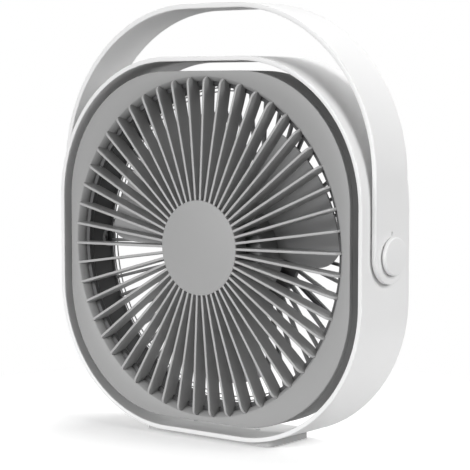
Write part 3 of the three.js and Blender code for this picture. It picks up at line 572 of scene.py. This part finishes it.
def strap_stations():
    """Places and outward directions along the inside of the hoop, from the left pivot to the right one."""
    side = ARM_INSIDE
    drop = inner_top - HANDLE_CORNER
    straight = [((-side, drop * k / ARM_STEPS), (-1.0, 0.0)) for k in range(ARM_STEPS)]
    bends = []
    for sign in (-1, 1):
        steps = range(BEND_STEPS + 1) if sign < 0 else range(BEND_STEPS, -1, -1)
        for k in steps:
            angle = math.pi / 2 * k / BEND_STEPS
            out = (sign * math.cos(angle), math.sin(angle))
            centre = sign * (side - HANDLE_CORNER)
            bends.append(((centre + HANDLE_CORNER * out[0], drop + HANDLE_CORNER * out[1]), out))
        if sign < 0:
            flat = side - HANDLE_CORNER
            bends += [((flat * t, inner_top), (0.0, 1.0)) for t in TOP_SHARES]
    mirrored = [((side, z), (1.0, 0.0)) for (x, z), out in reversed(straight)]
    return straight + bends + mirrored


def end_ring(side, turn):
    """The section turned about the pivot end of an arm, which draws the half-round tip."""
    ring = []
    for across, out in strap:
        drop = -abs(across) * math.sin(turn)
        ring.append(Vector((side * (ARM_INSIDE + out), across * math.cos(turn), drop)))
    return ring


rings = [end_ring(-1, math.pi / 2 * k / TIP_STEPS) for k in range(TIP_STEPS, 0, -1)]
rings += [[strap_point(p, d, across, out) for across, out in strap] for p, d in strap_stations()]
rings += [end_ring(1, math.pi / 2 * k / TIP_STEPS) for k in range(1, TIP_STEPS + 1)]
handle = loft(rings, False)
bmesh.ops.remove_doubles(handle, verts=handle.verts, dist=1e-4)
bmesh.ops.dissolve_degenerate(handle, edges=handle.edges, dist=1e-4)
pivot_bar = rod("X", PIVOT_HOLE, -ARM_OUTSIDE - 1, ARM_OUTSIDE + 1)
groove = box_mesh(GROOVE_SIZE, (ARM_OUTSIDE + GROOVE_OUT, 0, GROOVE_UP))
handle = boolean(handle, "DIFFERENCE", pivot_bar, groove)
piece("handle_hoop", handle, "handle_body", WHITE, "white_shell", "handle")

# %% [markdown]
# ## Core case
# Behind the front plate the core is a rounded case with a round duct through it.
# One closed section runs from the outline of the case to the circle of the duct.
# The pivot bosses, a screw window and the power inlet's hole are joined or cut afterwards.

# %% Core case
CORE_EDGE = 0.4
BOSS_RADIUS = 7.2
BOSS_START = 78.6
BORE_START = 82.9
PAST_THE_SIDE = 90
WINDOW_RADIUS = 3.2
WINDOW_FROM = -83.4
WINDOW_TO = -70
SKIRT_GAP = 0.3
INLET_MARGIN = 0.6
INLET_CUT_DEPTH = 8.0
duct_outside = DUCT + DUCT_WALL
case_front = SKIRT_BACK + SKIRT_GAP
case_web = CORE_BACK - DUCT_WALL


def outline_ring(inset, y):
    return at_depth(rounded_outline(CORE_INSET + inset), y)


def circle_ring(radius, y):
    return at_depth(circle_like(radius, GUIDE), y)


rings = [outline_ring(DUCT_WALL, CORE_FRONT), outline_ring(0, CORE_FRONT)]
rings += [outline_ring(CORE_EDGE - e, CORE_BACK - CORE_EDGE + h) for e, h in fillet(0, (0, 0), CORE_EDGE)]
inner_edge = reversed(fillet(0, (0, 0), CORE_EDGE))
rings += [circle_ring(DUCT + CORE_EDGE - e, CORE_BACK - CORE_EDGE + h) for e, h in inner_edge]
rings += [circle_ring(DUCT, case_front), circle_ring(duct_outside, case_front)]
rings += [circle_ring(duct_outside, case_web), outline_ring(DUCT_WALL, case_web)]
case = loft(rings, True)
core_side = HALF_WIDTH - CORE_INSET
bosses = [rod("X", BOSS_RADIUS, BOSS_START, core_side, 96)]
bosses.append(rod("X", BOSS_RADIUS, -core_side, -BOSS_START, 96))
case = boolean(case, "UNION", *bosses)
window = rod("X", WINDOW_RADIUS, WINDOW_FROM, WINDOW_TO)
bores = [rod("X", PIVOT_HOLE, BORE_START, PAST_THE_SIDE)]
bores.append(rod("X", PIVOT_HOLE, -PAST_THE_SIDE, -BORE_START))
inlet_low, inlet_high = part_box("usb_socket")
inlet_size = (inlet_high - inlet_low) / MM
inlet_middle = ((inlet_low + inlet_high) / 2 - CENTRE) / MM
inlet = box_mesh(
    (inlet_size.x + INLET_MARGIN, INLET_CUT_DEPTH, inlet_size.z + INLET_MARGIN),
    (inlet_middle.x, CORE_BACK, inlet_middle.z),
)
case = boolean(case, "DIFFERENCE", window, *bores, inlet)
piece("core_case", case, "core", GREY, "core_grey", "core_ring", inside=DARK)

rim = lathe([(3.2, -76.9), (3.4, -76.1), (4.6, -76.1), (4.9, -76.4), (4.9, -76.9)], 64, "X")
piece("screw_rim", rim, "core", GREY, "core_grey")

# %% [markdown]
# ## Front plate and lip
# The plate's face is flat. At the air opening it rolls back to a small ledge, where the duct begins.

# %% Front plate and lip
ROLL_STEPS = 10
lip_outside = DUCT + LIP
ledge = PLATE_FRONT + LIP
rings = [outline_ring(0, PLATE_BACK)]
soft_edge = fillet(0, (0, 0), CORE_EDGE)
rings += [outline_ring(CORE_EDGE - e, PLATE_FRONT + CORE_EDGE - h) for e, h in soft_edge]
for step in range(ROLL_STEPS + 1):
    angle = step * math.pi / 2 / ROLL_STEPS
    inwards = ROLL * math.sin(angle) ** ROLL_POWER
    back = ROLL_DEPTH - ROLL_DEPTH * math.cos(angle) ** ROLL_POWER
    rings.append(circle_ring(lip_outside - inwards, PLATE_FRONT + back))
rings += [circle_ring(lip_outside - ROLL, ledge - 0.4), circle_ring(DUCT, ledge - 0.2)]
rings += [circle_ring(DUCT, SKIRT_BACK), circle_ring(duct_outside, SKIRT_BACK)]
rings += [circle_ring(duct_outside, ledge + 1), circle_ring(lip_outside + 1, PLATE_BACK)]
plate = loft(rings, True)
piece("front_plate", plate, "core", GREY, "core_grey", inside=DARK)

# %% [markdown]
# ## Front fins
# Fifty straight fins run from the hub to the lip. Each has a flat front edge and a rounded outer end
# that drops into the lip. One fin is made with soft edges and then turned to every place.

# %% Front fins
FIN_THICKNESS = 1.2
FIN_SOFT = 0.22
END_ROUND = 3.2
BOSS_WALL = 1.6
fin_end = DUCT + LIP - 0.2
fin_foot = DUCT + 0.8
boss_radius = HUB - 0.3
profile = [(fin_foot, FIN_BACK), (fin_foot, ledge), (DUCT + LIP - ROLL + 0.5, ledge)]
profile += [(fin_end, PLATE_FRONT + 1.2)]
profile += reversed(fillet(270, (fin_end - END_ROUND, FIN_FRONT + END_ROUND), END_ROUND, 8))
profile += [(boss_radius - 0.8, FIN_FRONT), (boss_radius - 0.8, FIN_BACK)]
fins = copies(rib(profile, FIN_THICKNESS, FIN_SOFT), ALL_TURNS)
boss = [(boss_radius - BOSS_WALL, FIN_BACK), (boss_radius, FIN_BACK), (boss_radius, FIN_FRONT + 1.4)]
boss += [(0, FIN_FRONT + 1.4), (0, FIN_FRONT + 3), (boss_radius - BOSS_WALL, FIN_FRONT + 3)]
# The fins take the lighter grey, which is painted light on their edges and sides.
piece("front_fins", merge(fins, lathe(boss, 96)), "core", FIN, "core_grey", "front_grille", sharp=40)

# %% [markdown]
# ## Hub cap
# The cap is a smooth disc with a soft rim, a little proud of the fins, held by a peg.

# %% Hub cap
CAP_EDGE = 0.5
PEG_RADIUS = 3
PEG_LENGTH = 4
cap_back = CAP_FRONT + 1.4
cap_edge = [(HUB - CAP_EDGE + a, CAP_FRONT + CAP_EDGE + b) for a, b in fillet(270, (0, 0), CAP_EDGE)]
profile = [(0, CAP_FRONT), *cap_edge, (HUB, cap_back), (PEG_RADIUS, cap_back)]
profile += [(PEG_RADIUS, cap_back + PEG_LENGTH), (0, cap_back + PEG_LENGTH)]
piece("hub_disc", lathe(profile, 128), "core", CAP, "hub_grey", "hub_cap")

# %% [markdown]
# ## Rear grille
# Behind the impeller the slats lean back from the rim to a centre disc that carries the motor.
# Two fine rings near the rim keep fingers out. Four ears on necks take the case screws.

# %% Rear grille
DISC = 33.5
SLAT_THICKNESS = 1.5
GUARD_RADII = (75.7, 73.9)
GUARD_BAR = 0.3
SCREW_CIRCLE = 86.1
EAR = 4.2
NECK_WIDTH = 8.4
slat_outside = DUCT + 0.9
ring_back = REAR_FRONT + 2
disc_front = REAR_BACK - 3.2
slat = [(DISC - 0.5, disc_front + 0.6), (DISC - 0.5, REAR_BACK - 0.3)]
slat += [(slat_outside, REAR_FRONT + 1.7), (slat_outside, REAR_FRONT)]
slats = copies(rib(slat, SLAT_THICKNESS, 0.28), ALL_TURNS)
rim = [(DUCT, REAR_FRONT), (DUCT + 1.8, REAR_FRONT), (DUCT + 1.8, REAR_FRONT + 1.6)]
rim += [(DUCT + 1.4, ring_back), (DUCT + 0.4, ring_back), (DUCT, REAR_FRONT + 1.6)]
disc = [(0, disc_front), (DISC, disc_front), (DISC, REAR_BACK - 0.6), (DISC - 0.6, REAR_BACK)]
disc += [(DISC - 3, REAR_BACK), (DISC - 3.6, REAR_BACK - 0.6), (DISC - 4.2, REAR_BACK), (0, REAR_BACK)]
bar_turns = [k * math.pi / 4 for k in range(8)]
guards = []
for radius in GUARD_RADII:
    lean = (slat_outside - radius) / (slat_outside - DISC)
    y = REAR_FRONT + 0.9 + lean * (disc_front - REAR_FRONT)
    bar = [(radius + GUARD_BAR * math.cos(t), y + GUARD_BAR * math.sin(t)) for t in bar_turns]
    guards.append(lathe(bar, 192))
ear = [(0, REAR_FRONT), (EAR, REAR_FRONT), (EAR, REAR_FRONT + 1.6)]
ear += [(3.8, ring_back), (0, ring_back)]
ears = []
ear_turns = [math.pi / 4 + k * math.pi / 2 for k in range(4)]
for angle in ear_turns:
    place = (SCREW_CIRCLE * math.cos(angle), 0, SCREW_CIRCLE * math.sin(angle))
    ears.append(lathe(ear, 48))
    bmesh.ops.translate(ears[-1], verts=ears[-1].verts, vec=place)
neck = [(DUCT + 0.5, REAR_FRONT), (DUCT + 0.5, ring_back)]
neck += [(SCREW_CIRCLE, ring_back), (SCREW_CIRCLE, REAR_FRONT)]
necks = copies(rib(neck, NECK_WIDTH, 0.3), ear_turns)
rear = merge(slats, lathe(rim, 192), lathe(disc, 128), *guards, *ears, necks)
# The slats take the darkened grey, which is painted shade.
piece("rear_slats", rear, "core", SLAT, "core_grey", "rear_grille", sharp=40)

# %% [markdown]
# ## Impeller
# Three broad blades are bent from flat grids. Each runs from the rear to the fins' side along its chord,
# and its tip corners are rounded. The hub is a cup over the motor.

# %% Impeller
TIP = DUCT - 10.2
CUP = 29.0
CUP_FRONT = level("impeller", 1, 0)
CUP_BACK = level("impeller", 1, 1)
BLADE_SPAN = math.radians(71)
BLADE_START = math.radians(-10)
BLADE_WALL = 1.6
BLADE_BEND = 1.6
BLADE_THINNING = 0.33
ROOT_DEPTH = 14
DEPTH_LOST = 4
REAR_ROUNDING = 0.14
BOTH_ROUNDINGS = 0.21
BLADE_SIDES = (-0.5, 0.5)
CUP_WALL = 1.8
CUP_EDGE = 1.5


def blade(start, steps=28):
    bm = bmesh.new()
    rows = {}
    root = CUP - 0.9
    for side in BLADE_SIDES:
        for i in range(steps + 1):
            for k in range(steps + 1):
                along, across = i / steps, k / steps
                rounding = along**5
                share = REAR_ROUNDING * rounding + across * (1 - BOTH_ROUNDINGS * rounding)
                angle = start + share * BLADE_SPAN
                radius = root + along * (TIP - root)
                depth = ROOT_DEPTH - DEPTH_LOST * along
                edge = 4 * across * (1 - across)
                wall = BLADE_WALL * (1 - BLADE_THINNING * along) * (0.35 + 0.65 * min(1.0, 3 * edge))
                bend = BLADE_BEND * math.sin(share * math.pi)
                height = CUP_FRONT + 1.6 + (1 - share) * depth + bend + side * wall
                place = (radius * math.cos(angle), height, radius * math.sin(angle))
                rows[side, i, k] = bm.verts.new(place)
    for side in BLADE_SIDES:
        for i in range(steps):
            for k in range(steps):
                corners = [(i, k), (i + 1, k), (i + 1, k + 1), (i, k + 1)]
                bm.faces.new([rows[(side, *corner)] for corner in corners])
    loop = [(i, 0) for i in range(steps)] + [(steps, k) for k in range(steps)]
    loop += [(i, steps) for i in range(steps, 0, -1)] + [(0, k) for k in range(steps, 0, -1)]
    front, back = BLADE_SIDES
    for first, second in zip(loop, loop[1:] + loop[:1]):
        corners = [(front, *first), (front, *second), (back, *second), (back, *first)]
        bm.faces.new([rows[corner] for corner in corners])
    return bm


cup_edge = [(CUP - CUP_EDGE + a, CUP_FRONT + CUP_EDGE + b) for a, b in fillet(270, (0, 0), CUP_EDGE)]
cup = [(0, CUP_FRONT), *cup_edge, (CUP, CUP_BACK), (CUP - CUP_WALL, CUP_BACK)]
cup += [(CUP - CUP_WALL, CUP_FRONT + CUP_WALL), (3.8, CUP_FRONT + CUP_WALL)]
cup += [(3.8, CUP_FRONT + 5), (1.6, CUP_FRONT + 5), (1.6, CUP_FRONT + 1.5), (0, CUP_FRONT + 1.5)]
blades = [blade(BLADE_START + k * 2 * math.pi / 3) for k in range(3)]
impeller = merge(lathe(cup, 96), *blades)
piece("impeller_blades", impeller, "rotor", BLADE, "impeller_grey", "impeller", sharp=50)

# %% [markdown]
# ## Screws
# The screws have low domed heads with a cross recess. The same head serves every place.

# %% Screws
SHANK = 1.3
HEAD = 2.6
HEAD_RIM = 0.5
HEAD_DOME = 0.7
RECESS_SIZE = (2.6, 1.4, 0.6)
RECESS_MIDDLE = 1.3


def screw(place, out, length, name, body, node):
    """A pan-head screw, placed by the middle of its head's underside. Its head faces outwards."""
    profile = [(0, -length), (1.1, -length), (SHANK, -length + 0.4)]
    profile += [(SHANK, 0), (HEAD, 0), (HEAD, HEAD_RIM)]
    dome = [math.pi / 12 * k for k in range(1, 6)]
    profile += [(HEAD * math.cos(t), HEAD_RIM + HEAD_DOME * math.sin(t)) for t in dome]
    profile += [(0, HEAD_RIM + HEAD_DOME)]
    bm = lathe(profile, 40)
    for turn in (0, math.pi / 2):
        slot_cut = box_mesh(RECESS_SIZE, (0, RECESS_MIDDLE, 0))
        bmesh.ops.rotate(slot_cut, verts=slot_cut.verts, matrix=Matrix.Rotation(turn, 3, "Y"))
        bm = boolean(bm, "DIFFERENCE", slot_cut)
    facing = Vector((0, 1, 0)).rotation_difference(Vector(out)).to_matrix().to_4x4()
    bm.transform(Matrix.Translation(place) @ facing)
    return piece(name, bm, body, STEEL, "steel", node)


def middle(node):
    low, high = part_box(node)
    return ((low + high) / 2 - CENTRE) / MM


for k in range(1, 5):
    m = middle(f"case_screw_{k}")
    screw((m.x, REAR_FRONT + 2.1, m.z), (0, 1, 0), 8, f"case_screw_head_{k}", "core", f"case_screw_{k}")
for k in range(1, 4):
    m = middle(f"motor_screw_{k}")
    screw((m.x, REAR_BACK + 0.1, m.z), (0, 1, 0), 4, f"motor_screw_head_{k}", "core", f"motor_screw_{k}")
for k in (1, 2):
    m = middle(f"foot_screw_{k}")
    screw((m.x, m.y, foot_low + 1.4), (0, 0, -1), 3, f"foot_screw_head_{k}", "base", f"foot_screw_{k}")
screw((-80.2, 0, 0), (1, 0, 0), 2, "pivot_screw_head", "core", "pivot_screw_left")

# %% [markdown]
# ## Knob and pivot cap
# The knob is a low disc with a soft rim and a shadow gap under it. A plain cap covers the other pivot.

# %% Knob and pivot cap
SHADOW_GAP = 0.9
KNOB_EDGE = 0.6
PEG = 2
KNOB = level("speed_knob", 2, 1)
KNOB_BASE = ARM_OUTSIDE + 0.12
KNOB_FACE = level("speed_knob", 0, 1)


def side_disc(side, name, body, node, reach):
    """A disc on a peg along X. The reach is the inner end of the peg."""
    profile = [(0, reach), (PEG, reach), (PEG, KNOB_BASE), (KNOB - SHADOW_GAP, KNOB_BASE)]
    profile += [(KNOB - SHADOW_GAP, KNOB_BASE + 0.45), (KNOB, KNOB_BASE + 0.5)]
    soft_edge = fillet(0, (0, 0), KNOB_EDGE)
    profile += [(KNOB - KNOB_EDGE + a, KNOB_FACE - KNOB_EDGE + b) for a, b in soft_edge]
    profile += [(0, KNOB_FACE)]
    bm = lathe([(r, side * x) for r, x in profile], 96, "X")
    return piece(name, bm, body, WHITE, "white_shell", node)


side_disc(1, "knob_disc", "knob", "speed_knob", level("speed_knob", 0, 0))
side_disc(-1, "cap_disc", "core", "pivot_cap_left", -level("pivot_cap_left", 0, 1))

# %% [markdown]
# ## Spacers and axles
# Short sleeves fill the gap between the core and the band at both pivots.
# Flanged hollow axles run through them.

# %% Spacers and axles
SLEEVE_BORE = 5.0
SLEEVE_END = 7.6
SLEEVE = 8.0
SLEEVE_SOFT = 0.4
AXLE_BORE = 2.4
AXLE = 4.7
FLANGE = 6.0
FLANGE_THICKNESS = 1.2
for side, word in ((1, "right"), (-1, "left")):
    inner, outer = core_side + 0.1, HALF_WIDTH - BAND_WALL - 0.1
    sleeve = [(SLEEVE_BORE, inner), (SLEEVE_END, inner), (SLEEVE, inner + SLEEVE_SOFT)]
    sleeve += [(SLEEVE, outer - SLEEVE_SOFT), (SLEEVE_END, outer), (SLEEVE_BORE, outer)]
    bm = lathe([(r, side * x) for r, x in sleeve], 64, "X")
    piece(f"sleeve_{word}", bm, "core", BLACK, "black_plastic", f"spacer_{word}")
    low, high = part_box(f"pivot_axle_{word}")
    near = min(abs(low.x), abs(high.x)) / MM
    flange_top = near + FLANGE_THICKNESS
    axle = [(AXLE_BORE, near), (FLANGE, near), (FLANGE, flange_top)]
    axle += [(AXLE, flange_top), (AXLE, ARM_OUTSIDE), (AXLE_BORE, ARM_OUTSIDE)]
    bm = lathe([(r, side * x) for r, x in axle], 64, "X")
    piece(f"axle_{word}", bm, "core", STEEL, "steel", f"pivot_axle_{word}")

# %% [markdown]
# ## Carried-over CAD parts
# The motor and the electrics keep their CAD meshes and take finished materials.

# %% Carried-over CAD parts
LOOKS = {
    "motor_base": STEEL, "bearing_front": STEEL, "bearing_rear": STEEL, "stator": COPPER,
    "magnet_ring": MAGNET, "rotor_ring": STEEL, "motor_shaft": STEEL, "shaft_clip": STEEL,
    "control_board": BOARD, "usb_socket": STEEL, "motor_lead": BLACK, "rotary_switch": BLACK,
}
for name, look in LOOKS.items():
    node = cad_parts[name]
    node.data.materials.clear()
    node.data.materials.append(look)
left_over = [n for n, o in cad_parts.items() if not o.hide_render and n not in LOOKS]
print("CAD nodes without a look:", left_over)

# %% [markdown]
# ## Floor and backdrop
# The table is plain white. To the camera it glows a little near the fan and fades to white further out, so
# only the soft contact shadow stands out. Other rays see a pale table under the fan and a dull one further
# off, so the inside of the handle isn't lit too much from below.
# The room is dim in front of the fan and brighter behind it.

# %% Floor and backdrop
def smooth_ramp(tree, value, start, stop, low=0.0, high=1.0):
    """Eases from low to high while the value goes from start to stop."""
    node = tree.nodes.new("ShaderNodeMapRange")
    node.interpolation_type = "SMOOTHSTEP"
    for label, number in (("From Min", start), ("From Max", stop), ("To Min", low), ("To Max", high)):
        node.inputs[label].default_value = number
    tree.links.new(value, node.inputs["Value"])
    return node.outputs["Result"]


def camera_choice(tree, others, camera_sees, out):
    """Gives the camera one shader and every other ray another."""
    path = tree.nodes.new("ShaderNodeLightPath")
    pick = tree.nodes.new("ShaderNodeMixShader")
    tree.links.new(path.outputs["Is Camera Ray"], pick.inputs[0])
    tree.links.new(others, pick.inputs[1])
    tree.links.new(camera_sees, pick.inputs[2])
    tree.links.new(pick.outputs[0], out.inputs["Surface"])


TABLE_WHITE = 0.95
TABLE_GLOW = 0.27
FADE_START = 0.1
FADE_END = 0.22
BOUNCE_START = 0.12
BOUNCE_END = 0.36
BOUNCE_NEAR = 0.72
BOUNCE_FAR = 0.07
WALL_START = 0.2
WALL_END = 0.9
ROOM_DIM = 0.15
ROOM_BRIGHT = 0.8
floor_mesh = bpy.data.meshes.new("floor")
edge = 3.0
corners = [(-edge, -edge, 0), (edge, -edge, 0), (edge, edge, 0), (-edge, edge, 0)]
floor_mesh.from_pydata(corners, [], [(0, 1, 2, 3)])
floor = bpy.data.objects.new("floor", floor_mesh)
bpy.context.scene.collection.objects.link(floor)
floor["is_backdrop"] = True
floor_look = bpy.data.materials.new("white_table")
floor_look.use_nodes = True
tree = floor_look.node_tree
tree.nodes.clear()
out = tree.nodes.new("ShaderNodeOutputMaterial")
dull = tree.nodes.new("ShaderNodeBsdfDiffuse")
matte = tree.nodes.new("ShaderNodeBsdfDiffuse")
matte.inputs["Color"].default_value = (TABLE_WHITE, TABLE_WHITE, TABLE_WHITE, 1)
glow = tree.nodes.new("ShaderNodeEmission")
glow.inputs["Strength"].default_value = TABLE_GLOW
both = tree.nodes.new("ShaderNodeAddShader")
tree.links.new(matte.outputs[0], both.inputs[0])
tree.links.new(glow.outputs[0], both.inputs[1])
spot = tree.nodes.new("ShaderNodeVectorMath")
spot.operation = "LENGTH"
tree.links.new(tree.nodes.new("ShaderNodeTexCoord").outputs["Object"], spot.inputs[0])
from_middle = spot.outputs["Value"]
fade = smooth_ramp(tree, from_middle, FADE_START, FADE_END)
bounce = smooth_ramp(tree, from_middle, BOUNCE_START, BOUNCE_END, BOUNCE_NEAR, BOUNCE_FAR)
tree.links.new(bounce, dull.inputs["Color"])
far = tree.nodes.new("ShaderNodeEmission")
blend = tree.nodes.new("ShaderNodeMixShader")
tree.links.new(fade, blend.inputs[0])
tree.links.new(both.outputs[0], blend.inputs[1])
tree.links.new(far.outputs[0], blend.inputs[2])
camera_choice(tree, dull.outputs[0], blend.outputs[0], out)
floor_mesh.materials.append(floor_look)

world = bpy.data.worlds.new("studio")
bpy.context.scene.world = world
world.use_nodes = True
tree = world.node_tree
tree.nodes.clear()
out = tree.nodes.new("ShaderNodeOutputWorld")
room = tree.nodes.new("ShaderNodeBackground")
facing = tree.nodes.new("ShaderNodeSeparateXYZ")
tree.links.new(tree.nodes.new("ShaderNodeTexCoord").outputs["Generated"], facing.inputs[0])
wall = smooth_ramp(tree, facing.outputs["Y"], WALL_START, WALL_END, ROOM_DIM, ROOM_BRIGHT)
tree.links.new(wall, room.inputs["Strength"])
room.inputs["Color"].default_value = (1, 1, 1, 1)
seen = tree.nodes.new("ShaderNodeBackground")
seen.inputs["Color"].default_value = (1, 1, 1, 1)
seen.inputs["Strength"].default_value = 1.0
camera_choice(tree, room.outputs[0], seen.outputs[0], out)
print("floor and world ready")

# %% [markdown]
# ## Lamps
# A broad key lamp stands in front on the left. A smaller, weaker panel fills the right-hand side.
# A third panel hangs above the fan, a little behind it.

# %% Lamps
def panel(name, place, target, width, height, power):
    data = bpy.data.lights.new(name, "AREA")
    data.shape = "RECTANGLE"
    data.size, data.size_y = width, height
    data.energy = power
    lamp = bpy.data.objects.new(name, data)
    lamp.location = place
    lamp.rotation_euler = (Vector(target) - Vector(place)).to_track_quat("-Z", "Y").to_euler()
    bpy.context.scene.collection.objects.link(lamp)
    return lamp


panel("key", (-0.6, -2.6, 0.6), (0, 0, 0.09), 1.6, 1.0, 61)
panel("side_fill", (1.8, 0.1, 0.95), (0, 0, 0.09), 0.9, 0.9, 26)
panel("top", (-0.15, 0.4, 1.4), (0, 0, 0.1), 0.9, 0.9, 11)
bpy.context.scene.view_settings.view_transform = "Standard"
print("lamps", len(bpy.data.lights))

# %% Finish
low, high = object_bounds()
print("visual box", [round(v, 5) for v in low], [round(v, 5) for v in high])
